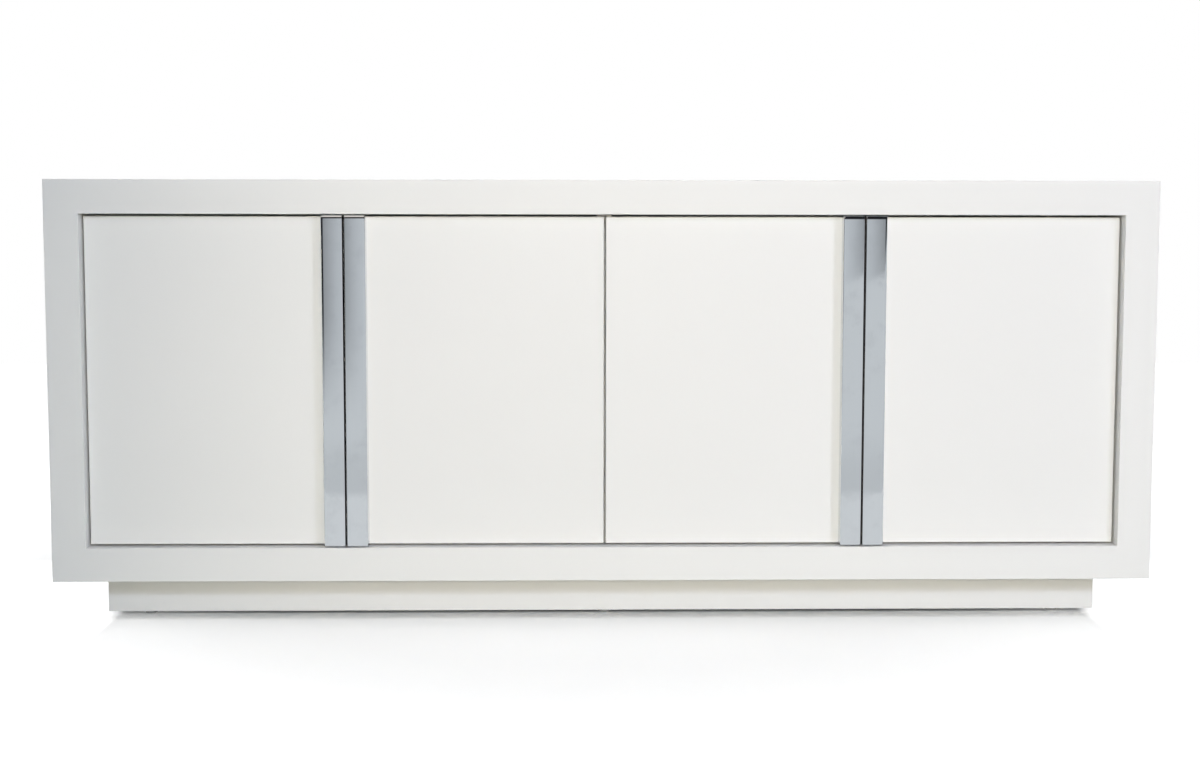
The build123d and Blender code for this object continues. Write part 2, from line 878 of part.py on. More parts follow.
def all_nodes():
    """Every node of the cabinet, by name, as a list of solids."""
    nodes = {}
    nodes.update(case_slabs())
    nodes["case_dowels"] = dowel_rods(dowel_diameter / 2, dowel_length)
    nodes["centre_partition"] = [centre_partition()]
    nodes["back_panel"] = [back_panel()]
    back_screw_length = back_thickness + back_screw_bite
    nodes["back_panel_screws"] = [
        screw(WOOD_SCREW, seat, FRONTWARD, back_screw_length) for seat in back_screw_seats()
    ]
    nodes["cable_grommets"] = [cable_grommet(place) for place in port_places()]
    nodes["left_shelf"] = [shelf(-1)]
    nodes["right_shelf"] = [shelf(1)]
    nodes["shelf_pins"] = shelf_pins()
    nodes.update(plinth_rails())
    nodes["plinth_brace"] = [plinth_brace()]
    nodes["plinth_corner_blocks"] = corner_blocks()
    plinth_screw_length = corner_block_height + plinth_screw_bite
    nodes["plinth_screws"] = [
        screw(LONG_SCREW, seat, UPWARD, plinth_screw_length) for seat in plinth_screw_seats()
    ]
    nodes["floor_glides"] = [floor_glide(place) for place in glide_places()]
    nodes["catch_housings"] = catch_housings()
    nodes["catch_magnets"] = magnet_blocks(0)
    catch_screw_length = catch_height + catch_screw_bite
    nodes["catch_screws"] = [
        screw(WOOD_SCREW, seat, UPWARD, catch_screw_length) for seat in catch_screw_places()
    ]
    nodes["hinge_screws"] = all_hinge_screws()
    for door in DOORS:
        nodes.update(wall_parts(door))
        nodes.update(door_parts(door))
    return nodes


def solids_of(shapes):
    """All solids in a list of shapes."""
    return [solid for shape in shapes for solid in shape.solids()]


def main():
    """Write one STEP file per node."""
    os.makedirs("parts", exist_ok=True)
    for name, shapes in all_nodes().items():
        export_step(Compound(children=solids_of(shapes)), f"parts/{name}.step")


main()
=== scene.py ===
"""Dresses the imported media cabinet: finishes, fittings, camera, lamps, floor and surround.

Lengths are in metres, with the shared frame's X along the cabinet, Y from its front to
its back and Z up. Angles that a class keeps in its fields are in degrees.
"""

import logging
import math
from dataclasses import dataclass
from enum import Enum
from typing import Optional, Sequence, Union

import bpy
import numpy as np
from mathutils import Matrix, Vector


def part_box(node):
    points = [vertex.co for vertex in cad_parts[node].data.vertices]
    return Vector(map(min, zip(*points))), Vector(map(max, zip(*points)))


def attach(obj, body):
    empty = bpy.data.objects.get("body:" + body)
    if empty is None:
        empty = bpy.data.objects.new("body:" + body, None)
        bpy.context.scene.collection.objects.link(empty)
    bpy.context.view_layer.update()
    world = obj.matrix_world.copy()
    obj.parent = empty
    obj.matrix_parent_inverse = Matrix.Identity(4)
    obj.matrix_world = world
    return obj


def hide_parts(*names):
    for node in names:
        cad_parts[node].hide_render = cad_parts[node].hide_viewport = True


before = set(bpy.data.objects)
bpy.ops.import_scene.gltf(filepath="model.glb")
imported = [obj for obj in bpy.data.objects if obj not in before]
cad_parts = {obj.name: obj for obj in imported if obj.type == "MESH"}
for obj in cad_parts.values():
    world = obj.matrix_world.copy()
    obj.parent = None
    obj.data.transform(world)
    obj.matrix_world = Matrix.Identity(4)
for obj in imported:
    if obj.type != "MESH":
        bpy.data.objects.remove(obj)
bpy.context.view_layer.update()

log = logging.getLogger("media_cabinet")

MM = 0.001
TOUCH = 0.01 * MM
QUARTER = math.pi / 2
DOORS = ("left_outer", "left_inner", "right_inner", "right_outer")
BLACK = (0.0, 0.0, 0.0)
WHITE = (1.0, 1.0, 1.0)

Colour = tuple[float, float, float]
Point = tuple[float, float, float]
Span = tuple[float, float]
Value = Union["Wire", float]


def scaled(colour: Colour, share: float) -> Colour:
    """Colour with every part times one share."""
    return tuple(part * share for part in colour)


def ring_angles(count: int) -> np.ndarray:
    """Angles of evenly spaced points round a circle."""
    return np.arange(count) * 2 * math.pi / count


class Slot(str, Enum):
    """Material slots of the record."""

    LACQUER = "white_lacquer"
    CHROME = "polished_chrome"
    STEEL = "plated_steel"
    WHITE_PLASTIC = "white_plastic"
    GREY_PLASTIC = "grey_plastic"
    BEECH = "beech_dowel"
    BIRCH = "birch_block"
    MAGNET = "magnet"


# Shader expressions


class Wire:
    """A value in a node tree that takes part in Python arithmetic."""

    def __init__(self, graph: "Graph", socket: bpy.types.NodeSocket) -> None:
        """Keep the graph and the output socket that carries the value."""
        self.graph = graph
        self.socket = socket

    def __add__(self, other: Value) -> "Wire":
        """Sum."""
        return self.graph.math("ADD", self, other)

    __radd__ = __add__

    def __sub__(self, other: Value) -> "Wire":
        """Difference."""
        return self.graph.math("SUBTRACT", self, other)

    def __rsub__(self, other: Value) -> "Wire":
        """Difference with the value on the right."""
        return self.graph.math("SUBTRACT", other, self)

    def __mul__(self, other: Value) -> "Wire":
        """Product."""
        return self.graph.math("MULTIPLY", self, other)

    __rmul__ = __mul__

    def __truediv__(self, other: Value) -> "Wire":
        """Quotient."""
        return self.graph.math("DIVIDE", self, other)

    def __neg__(self) -> "Wire":
        """Negative."""
        return self.graph.math("MULTIPLY", self, -1.0)

    def __abs__(self) -> "Wire":
        """Absolute value."""
        return self.graph.math("ABSOLUTE", self)

    def ramp(self, low: float, high: float) -> "Wire":
        """Smooth step from 0 at one value to 1 at another.

        Args:
            low: Value at which the step is still 0.
            high: Value at which the step has reached 1.

        Returns:
            The step as a wire.
        """
        node = self.graph.node(
            "ShaderNodeMapRange",
            {"interpolation_type": "SMOOTHSTEP"},
            {"Value": self, "From Min": low, "From Max": high},
        )
        return Wire(self.graph, node.outputs["Result"])


class Graph:
    """Node tree that is written as expressions."""

    def __init__(self, tree: bpy.types.NodeTree) -> None:
        """Start with an empty tree."""
        self.tree = tree
        tree.nodes.clear()

    def node(self, kind: str, settings: dict, values: dict) -> bpy.types.Node:
        """Add one node.

        Args:
            kind: Node type.
            settings: Properties of the node, set first.
            values: Values or wires of its input sockets, by name or index.

        Returns:
            The new node.
        """
        node = self.tree.nodes.new(kind)
        for name, value in settings.items():
            setattr(node, name, value)
        for key, value in values.items():
            socket = node.inputs[key]
            if isinstance(value, Wire):
                self.tree.links.new(value.socket, socket)
            elif isinstance(value, bpy.types.NodeSocket):
                self.tree.links.new(value, socket)
            else:
                socket.default_value = value
        return node

    def math(self, operation: str, first: Value, second: Value = 0.0) -> Wire:
        """Math node on one or two values."""
        node = self.node("ShaderNodeMath", {"operation": operation}, {0: first, 1: second})
        return Wire(self, node.outputs[0])

    def mix(self, factor: Value, first: Union[Wire, Colour], second: Union[Wire, Colour]) -> Wire:
        """Blend of two colours.

        Args:
            factor: 0 for the first colour, 1 for the second.
            first: First colour.
            second: Second colour.

        Returns:
            The blended colour.
        """
        ends = [c if isinstance(c, Wire) else (*c, 1.0) for c in (first, second)]
        node = self.node(
            "ShaderNodeMix", {"data_type": "RGBA"}, {"Factor": factor, 6: ends[0], 7: ends[1]}
        )
        return Wire(self, node.outputs[2])

    def coordinates(self, stretch: Point = (1.0, 1.0, 1.0)) -> Wire:
        """Object coordinates for a pattern.

        Args:
            stretch: Factor of each axis; below 1 the pattern is drawn out along it.

        Returns:
            The coordinates as a wire.
        """
        source = self.node("ShaderNodeTexCoord", {}, {})
        mapping = self.node(
            "ShaderNodeMapping", {}, {"Vector": source.outputs["Object"], "Scale": stretch}
        )
        return Wire(self, mapping.outputs["Vector"])

    def axes(self, vector: Union[Wire, bpy.types.NodeSocket]) -> tuple[Wire, Wire, Wire]:
        """The three parts of a vector."""
        node = self.node("ShaderNodeSeparateXYZ", {}, {0: vector})
        return tuple(Wire(self, output) for output in node.outputs)

    def ray(self, kind: str) -> Wire:
        """1 for rays of a kind, such as Camera or Glossy, and 0 for the others."""
        node = self.node("ShaderNodeLightPath", {}, {})
        return Wire(self, node.outputs[f"Is {kind} Ray"])

    def noise(self, place: Wire, scale: float, detail: float = 2.0, rough: float = 0.5) -> Wire:
        """Noise value between 0 and 1.

        Args:
            place: Coordinates of the pattern.
            scale: Cells per metre.
            detail: Octaves.
            rough: Share of each octave.

        Returns:
            The noise as a wire.
        """
        node = self.node(
            "ShaderNodeTexNoise",
            {},
            {"Vector": place, "Scale": scale, "Detail": detail, "Roughness": rough},
        )
        return Wire(self, node.outputs["Fac"])

    def bump(
        self, height: Wire, strength: float, depth: float, under: Optional[Wire] = None
    ) -> Wire:
        """Bumped normal.

        Args:
            height: Height between 0 and 1.
            strength: Share of the bump that shows.
            depth: Height of the bump in metres.
            under: Normal of a coarser bump below this one.

        Returns:
            The normal as a wire.
        """
        values = {"Height": height, "Strength": strength, "Distance": depth}
        if under is not None:
            values["Normal"] = under
        node = self.node("ShaderNodeBump", {}, values)
        return Wire(self, node.outputs["Normal"])


# Finishes


@dataclass(frozen=True)
class Finish:
    """Base of every finish: a name, its record slot and a way to make the material."""

    name: str
    slot: Slot

    def shade(self, graph: Graph) -> dict:
        """Inputs of the surface shader; each finish gives its own."""
        raise NotImplementedError

    def material(self) -> bpy.types.Material:
        """Blender material of the finish.

        Returns:
            The material, which is made only once.
        """
        found = bpy.data.materials.get(self.name)
        if found is not None:
            return found
        made = bpy.data.materials.new(self.name)
        made.use_nodes = True
        graph = Graph(made.node_tree)
        surface = graph.node("ShaderNodeBsdfPrincipled", {}, self.shade(graph))
        graph.node("ShaderNodeOutputMaterial", {}, {"Surface": surface.outputs["BSDF"]})
        return made


@dataclass(frozen=True)
class Lacquer(Finish):
    """Sprayed satin lacquer: a faint tone drift, an even sheen and a fine orange peel."""

    tone: Colour = (0.865, 0.862, 0.846)
    drift: float = 0.012
    drift_scale: float = 3.0
    sheen_low: float = 0.36
    sheen_high: float = 0.44
    sheen_scale: float = 55.0
    index: float = 1.47
    flow_scale: float = 22.0
    flow_depth: float = 0.06 * MM
    peel_scale: float = 420.0
    peel_depth: float = 0.012 * MM

    def shade(self, graph: Graph) -> dict:
        """Tone, sheen and two layers of relief.

        Args:
            graph: Node tree of the material.

        Returns:
            Values and wires of the surface shader's inputs.
        """
        place = graph.coordinates()
        cloud = graph.noise(place, self.drift_scale, detail=3.0)
        mottle = graph.noise(place, self.sheen_scale, detail=4.0, rough=0.6)
        waves = graph.noise(place, self.flow_scale, detail=1.0)
        flow = graph.bump(waves, strength=0.5, depth=self.flow_depth)
        peel = graph.noise(place, self.peel_scale)
        deeper, lighter = (scaled(self.tone, 1 + step) for step in (-self.drift, self.drift))
        return {
            "Base Color": graph.mix(cloud, deeper, lighter),
            "Roughness": mottle * (self.sheen_high - self.sheen_low) + self.sheen_low,
            "IOR": self.index,
            "Normal": graph.bump(peel, strength=0.6, depth=self.peel_depth, under=flow),
        }


@dataclass(frozen=True)
class Chrome(Finish):
    """Polished chrome plate: long polishing waves, faint streaks and hand smudges."""

    tone: Colour = (0.64, 0.66, 0.685)
    smudged: float = 0.96
    smudge_scale: float = 28.0
    smudge_span: Span = (0.45, 0.75)
    gloss_low: float = 0.035
    gloss_high: float = 0.09
    wave_stretch: Point = (1.0, 1.0, 0.12)
    wave_scale: float = 30.0
    wave_depth: float = 0.1 * MM
    streak_stretch: Point = (1.0, 1.0, 0.02)
    streak_scale: float = 2600.0
    streak_depth: float = 0.002 * MM

    def shade(self, graph: Graph) -> dict:
        """Tone, gloss with smudges, and relief drawn out along the bar.

        Args:
            graph: Node tree of the material.

        Returns:
            Values and wires of the surface shader's inputs.
        """
        smudge = graph.noise(graph.coordinates(), self.smudge_scale, detail=4.0, rough=0.65)
        smudge = smudge.ramp(*self.smudge_span)
        wave = graph.noise(graph.coordinates(self.wave_stretch), self.wave_scale, detail=1.0)
        streak = graph.noise(graph.coordinates(self.streak_stretch), self.streak_scale)
        waves = graph.bump(wave, strength=0.35, depth=self.wave_depth)
        return {
            "Base Color": graph.mix(smudge, self.tone, scaled(self.tone, self.smudged)),
            "Metallic": 1.0,
            "Roughness": smudge * (self.gloss_high - self.gloss_low) + self.gloss_low,
            "Normal": graph.bump(streak, strength=0.3, depth=self.streak_depth, under=waves),
        }


@dataclass(frozen=True)
class PlatedSteel(Finish):
    """Nickel-plated pressed steel: warm grey with a rolled grain and small handling marks."""

    tone: Colour = (0.66, 0.645, 0.615)
    marked: float = 0.84
    mark_scale: float = 160.0
    mark_span: Span = (0.35, 0.7)
    gloss: float = 0.16
    mark_gloss: float = 0.22
    grain_gloss: float = 0.08
    grain_stretch: Point = (1.0, 1.0, 0.06)
    grain_scale: float = 1400.0
    grain_depth: float = 0.01 * MM

    def shade(self, graph: Graph) -> dict:
        """Tone, broken sheen and a shallow rolled grain.

        Args:
            graph: Node tree of the material.

        Returns:
            Values and wires of the surface shader's inputs.
        """
        grain = graph.noise(graph.coordinates(self.grain_stretch), self.grain_scale, detail=3.0)
        marks = graph.noise(graph.coordinates(), self.mark_scale, detail=4.0, rough=0.6)
        darker = scaled(self.tone, self.marked)
        return {
            "Base Color": graph.mix(marks.ramp(*self.mark_span), self.tone, darker),
            "Metallic": 1.0,
            "Roughness": marks * self.mark_gloss + grain * self.grain_gloss + self.gloss,
            "Normal": graph.bump(grain, strength=0.35, depth=self.grain_depth),
        }


@dataclass(frozen=True)
class Plastic(Finish):
    """Moulded plastic with a fine spark-eroded texture."""

    tone: Colour = (0.8, 0.8, 0.78)
    sheen: float = 0.42
    flow_tone: float = 0.94
    flow_stretch: Point = (1.0, 1.0, 0.3)
    flow_scale: float = 60.0
    skin_scale: float = 2200.0
    skin_sheen: float = 0.12
    skin_depth: float = 0.02 * MM

    def shade(self, graph: Graph) -> dict:
        """Tone with a faint flow pattern and a pebbled skin.

        Args:
            graph: Node tree of the material.

        Returns:
            Values and wires of the surface shader's inputs.
        """
        flow = graph.noise(graph.coordinates(self.flow_stretch), self.flow_scale, detail=3.0)
        skin = graph.noise(graph.coordinates(), self.skin_scale, detail=3.0)
        return {
            "Base Color": graph.mix(flow, scaled(self.tone, self.flow_tone), self.tone),
            "Roughness": skin * self.skin_sheen + self.sheen,
            "Normal": graph.bump(skin, strength=0.5, depth=self.skin_depth),
        }


@dataclass(frozen=True)
class Timber(Finish):
    """Bare close-grained timber: drifting rings, short pores and a planed surface."""

    light: Colour = (0.74, 0.6, 0.42)
    dark: Colour = (0.56, 0.41, 0.26)
    stretch: Point = (1.0, 1.0, 0.12)
    bend_scale: float = 14.0
    bend_share: float = 0.35
    band_scale: float = 190.0
    band_span: Span = (0.3, 0.72)
    pore_scale: float = 900.0
    pore_span: Span = (0.62, 0.72)
    pore_share: float = 0.5
    sheen: float = 0.55
    band_sheen: float = 0.15
    depth: float = 0.08 * MM

    def shade(self, graph: Graph) -> dict:
        """Grain bands along one axis, with pores that lie along them.

        Args:
            graph: Node tree of the material.

        Returns:
            Values and wires of the surface shader's inputs.
        """
        along = graph.coordinates(self.stretch)
        bend = graph.noise(along, self.bend_scale, detail=3.0)
        bands = graph.noise(along, self.band_scale, detail=4.0, rough=0.6)
        pores = graph.noise(along, self.pore_scale).ramp(*self.pore_span) * self.pore_share
        body = graph.mix(bands.ramp(*self.band_span), self.light, self.dark)
        bent = graph.mix(bend * self.bend_share, body, self.dark)
        return {
            "Base Color": graph.mix(pores, bent, self.dark),
            "Roughness": bands * self.band_sheen + self.sheen,
            "Normal": graph.bump(bands - pores, strength=0.4, depth=self.depth),
        }


@dataclass(frozen=True)
class Ferrite(Finish):
    """Sintered ferrite magnet: near black, with a granular ground face."""

    tone: Colour = (0.055, 0.055, 0.06)
    glint: float = 3.2
    glint_span: Span = (0.5, 0.75)
    grain_scale: float = 1800.0
    grain_depth: float = 0.03 * MM
    sheen: float = 0.42
    grain_sheen: float = 0.25

    def shade(self, graph: Graph) -> dict:
        """Dark grains with a few bright ones.

        Args:
            graph: Node tree of the material.

        Returns:
            Values and wires of the surface shader's inputs.
        """
        grains = graph.noise(graph.coordinates(), self.grain_scale, detail=3.0, rough=0.7)
        bright = scaled(self.tone, self.glint)
        return {
            "Base Color": graph.mix(grains.ramp(*self.glint_span), self.tone, bright),
            "Roughness": grains * self.grain_sheen + self.sheen,
            "Normal": graph.bump(grains, strength=0.5, depth=self.grain_depth),
        }


LACQUER = Lacquer("satin_lacquer", Slot.LACQUER)
INNER_LACQUER = Lacquer("inner_lacquer", Slot.LACQUER, drift=0.02, sheen_low=0.46, sheen_high=0.56)
CHROME = Chrome("polished_chrome_plate", Slot.CHROME)
STEEL = PlatedSteel("nickel_plated_steel", Slot.STEEL)
WHITE_PLASTIC = Plastic("white_moulding", Slot.WHITE_PLASTIC)
GREY_PLASTIC = Plastic("grey_moulding", Slot.GREY_PLASTIC, tone=(0.3, 0.3, 0.295), sheen=0.48)
BEECH = Timber("beech", Slot.BEECH)
BIRCH = Timber("birch", Slot.BIRCH, light=(0.78, 0.67, 0.5), dark=(0.64, 0.51, 0.35))
MAGNET = Ferrite("sintered_ferrite", Slot.MAGNET)


# Surfaces worked out on grids


@dataclass
class Surface:
    """Closed surface as arrays of points and faces."""

    points: np.ndarray
    quads: np.ndarray
    triangles: np.ndarray

    def moved(self, turn: np.ndarray, shift: np.ndarray) -> "Surface":
        """Surface turned by a 3 x 3 matrix and then shifted."""
        return Surface(self.points @ turn.T + shift, self.quads, self.triangles)


def joined(surfaces: Sequence[Surface]) -> Surface:
    """One surface that holds several, with the face numbers of each carried on.

    Args:
        surfaces: The surfaces to join.

    Returns:
        The joined surface.
    """
    starts = np.cumsum([0] + [len(s.points) for s in surfaces[:-1]])
    return Surface(
        np.concatenate([s.points for s in surfaces]),
        np.concatenate([s.quads + start for s, start in zip(surfaces, starts)]),
        np.concatenate([s.triangles + start for s, start in zip(surfaces, starts)]),
    )


def capped_rings(rings: np.ndarray, first_pole: np.ndarray, last_pole: np.ndarray) -> Surface:
    """Closed surface through a stack of rings, ended by a fan to a pole at each end.

    Point (i, j) of the grid is point j of ring i; j runs round and closes on itself.

    Args:
        rings: Array of shape (ring count, points per ring, 3).
        first_pole: Point that closes the first ring.
        last_pole: Point that closes the last ring.

    Returns:
        The surface, with its faces outwards when the rings run anticlockwise about the
        direction from the first pole to the last.
    """
    count, around = rings.shape[:2]
    number = np.arange(count * around).reshape(count, around)
    after = np.roll(number, -1, axis=1)
    quads = np.stack([number[:-1], after[:-1], after[1:], number[1:]], axis=-1).reshape(-1, 4)
    low, high = count * around, count * around + 1
    low_fan = np.stack([np.full(around, low), after[0], number[0]], axis=-1)
    high_fan = np.stack([np.full(around, high), number[-1], after[-1]], axis=-1)
    points = np.concatenate([rings.reshape(-1, 3), [first_pole, last_pole]])
    return Surface(points, quads, np.concatenate([low_fan, high_fan]))


def revolved(radii: np.ndarray, heights: np.ndarray, angles: np.ndarray) -> np.ndarray:
    """Points (r cos a, r sin a, z) about the Z axis, from arrays that fit one shape."""
    parts = np.broadcast_arrays(radii * np.cos(angles), radii * np.sin(angles), heights)
    return np.stack(parts, axis=-1)


def turned(profile: Sequence[tuple[float, float]], around: int) -> Surface:
    """Solid of revolution: ring i has radius r_i and height z_i.

    Args:
        profile: Radius and height from the lowest point on the axis to the highest; the
            first and last radius are 0.
        around: Points per ring.

    Returns:
        The closed surface about the Z axis.
    """
    radii, heights = np.array(profile, float).T
    rings = revolved(radii[1:-1, None], heights[1:-1, None], ring_angles(around))
    return capped_rings(rings, np.array([0, 0, heights[0]]), np.array([0, 0, heights[-1]]))


def turned_tube(profile: np.ndarray, around: int) -> Surface:
    """Ring of revolution: a closed outline (r_i, z_i) carried round the Z axis.

    Args:
        profile: Closed outline, anticlockwise with the radius to the right and the height up.
        around: Points round the axis.

    Returns:
        The closed surface of the ring.
    """
    points = revolved(*profile.T, ring_angles(around)[:, None])
    number = np.arange(around * len(profile)).reshape(around, len(profile))
    across = np.roll(number, -1, axis=1)
    onward = np.roll(number, -1, axis=0)
    both = np.roll(across, -1, axis=0)
    quads = np.stack([number, onward, both, across], axis=-1).reshape(-1, 4)
    return Surface(points.reshape(-1, 3), quads, np.empty((0, 3), int))


def frame_along(direction: Sequence[float]) -> np.ndarray:
    """3 x 3 matrix that turns +Z to a direction."""
    axis = Vector(direction).normalized()
    return np.array(Vector((0, 0, 1)).rotation_difference(axis).to_matrix())


def place_piece(
    name: str,
    surface: Surface,
    body: str,
    finish: Finish,
    replaces: Sequence[str] = (),
) -> bpy.types.Object:
    """Turn a surface into a smooth piece that rides on a body.

    Args:
        name: Name of the piece.
        surface: Its points and faces in the shared frame.
        body: Body that carries it.
        finish: Finish of the piece.
        replaces: CAD nodes that it stands for.

    Returns:
        The new object.
    """
    mesh = bpy.data.meshes.new(name)
    faces = surface.quads.tolist() + surface.triangles.tolist()
    mesh.from_pydata(surface.points.tolist(), [], faces)
    mesh.materials.append(finish.material())
    mesh.shade_smooth()
    mesh.validate()
    piece = bpy.data.objects.new(name, mesh)
    bpy.context.scene.collection.objects.link(piece)
    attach(piece, body)
    if replaces:
        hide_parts(*replaces)
    log.info("piece %s: %d points on %s", name, len(surface.points), body)
    return piece


def finish_node(node: str, finish: Finish) -> None:
    """Give a carried-over CAD node its finish.

    Args:
        node: Name of the CAD node.
        finish: Its finish.
    """
    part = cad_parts[node]
    for slot in part.material_slots:
        slot.link = "OBJECT"
        slot.material = finish.material()
    log.info("node %s: %s", node, finish.name)


def loose_parts(node: str) -> list[np.ndarray]:
    """Points of each separate solid of a CAD node.

    Equal points are welded, and each point then takes the lowest number among the faces
    that it shares, over and over until nothing changes, so every solid ends with one number.

    Args:
        node: Name of the CAD node.

    Returns:
        One array of points per solid.
    """
    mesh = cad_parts[node].data
    points = np.empty(len(mesh.vertices) * 3, np.float32)
    mesh.vertices.foreach_get("co", points)
    corners = np.empty(len(mesh.loops), np.int32)
    mesh.loops.foreach_get("vertex_index", corners)
    rounded = np.round(points.reshape(-1, 3).astype(float), 6)
    welded, back = np.unique(rounded, axis=0, return_inverse=True)
    faces = back.ravel()[corners].reshape(-1, 3)
    numbers = np.arange(len(welded))
    while True:
        lowest = numbers[faces].min(axis=1)
        lower = numbers.copy()
        np.minimum.at(lower, faces.ravel(), np.repeat(lowest, 3))
        lower = lower[lower]
        if np.array_equal(lower, numbers):
            break
        numbers = lower
    return [welded[numbers == number] for number in np.unique(numbers)]


def extent(points: np.ndarray) -> tuple[np.ndarray, np.ndarray, np.ndarray]:
    """Lowest corner, highest corner and middle of some points."""
    low, high = points.min(axis=0), points.max(axis=0)
    return low, high, (low + high) / 2


@dataclass(frozen=True)
class SubAssembly:
    """Base of every sub-assembly, which dresses CAD nodes, builds new pieces, or both."""

    def dress(self) -> None:
        """Finish the CAD nodes that keep their shape."""

    def build(self) -> None:
        """Make the pieces that stand for the other CAD nodes."""


# Screws


@dataclass(frozen=True)
class CrossScrew:
    """Pan-head screw with a cross recess, drawn with its seat at 0 and its head along +Z.

    Radii across the head are shares of its radius, and heights are shares of its height.
    """

    around: int = 40
    crown_rings: int = 12
    dome: float = 0.55
    seat_share: float = 0.97
    edge_height: float = 0.08
    recess_share: float = 0.62
    recess_fade: float = 0.3
    recess_depth: float = 0.7
    arm_share: float = 0.17
    arm_fade: float = 0.085
    tip_share: float = 0.25

    def surface(
        self, head_radius: float, head_height: float, radius: float, length: float
    ) -> Surface:
        """Dome z = h (1 - (1 - d) (r / R)^2) with a cross sunk in it, then rim, shank and tip.

        Args:
            head_radius: Radius R of the head.
            head_height: Height h of the head.
            radius: Radius of the shank.
            length: Length of the shank below the seat.

        Returns:
            The closed surface of the screw.
        """
        shank = [
            (radius * self.tip_share, -length),
            (radius, -length + 2 * radius),
            (radius, 0.0),
            (head_radius * self.seat_share, 0.0),
            (head_radius, head_height * self.edge_height),
        ]
        angles = ring_angles(self.around)
        shares = np.linspace(1.0, 0.0, self.crown_rings + 1)[:-1, None]
        crown = 1 - (1 - self.dome) * shares**2 - self.sunk(shares, angles)
        lower = revolved(*np.array(shank).T[..., None], angles)
        upper = revolved(head_radius * shares, head_height * crown, angles)
        top = head_height * (1 - self.recess_depth)
        ends = np.array([0, 0, -length]), np.array([0, 0, top])
        return capped_rings(np.concatenate([lower, upper]), *ends)

    def sunk(self, share: np.ndarray, angle: np.ndarray) -> np.ndarray:
        """Depth of the cross as a share of the head's height.

        The distance to the nearer arm's middle line is share times the smaller of |cos| and
        |sin|. The recess fades out over a short way towards each arm's edges and its end.

        Args:
            share: Distance from the axis as a share of the head's radius.
            angle: Angle round the axis.

        Returns:
            The depth at every place.
        """
        offset = share * np.minimum(np.abs(np.cos(angle)), np.abs(np.sin(angle)))
        across = np.clip((self.arm_share - offset) / self.arm_fade, 0, 1)
        outward = np.clip((self.recess_share - share) / self.recess_fade, 0, 1)
        return self.recess_depth * across * outward


@dataclass(frozen=True)
class ScrewSet(SubAssembly):
    """The screws of one CAD node, rebuilt where each of its solids lies."""

    node: str
    body: str
    head_share: float = 0.9

    def build(self) -> None:
        """Read each screw's axis, head and shank from its solid and make one piece of all."""
        screws = [self.one(points) for points in loose_parts(self.node)]
        place_piece(f"{self.node}_heads", joined(screws), self.body, STEEL, [self.node])

    def one(self, points: np.ndarray) -> Surface:
        """Screw on the place of one CAD solid.

        Corners beyond the head's share of the widest radius belong to the head, and the
        axis runs along the solid's longest side.

        Args:
            points: The solid's corners.

        Returns:
            The detailed screw.
        """
        low, high, middle = extent(points)
        axis = int(np.argmax(high - low))
        sideways = np.linalg.norm(np.delete(points - middle, axis, axis=1), axis=1)
        along = points[:, axis]
        wide = sideways > sideways.max() * self.head_share
        head, shank = along[wide], sideways[~wide]
        sign = 1.0 if head.mean() > middle[axis] else -1.0
        direction = np.zeros(3)
        direction[axis] = sign
        start = middle.copy()
        start[axis] = head.min() if sign > 0 else head.max()
        shape = CrossScrew().surface(
            sideways.max(), np.ptp(head), shank.max(), np.ptp(along) - np.ptp(head)
        )
        return shape.moved(frame_along(direction), start)


# Bar pulls


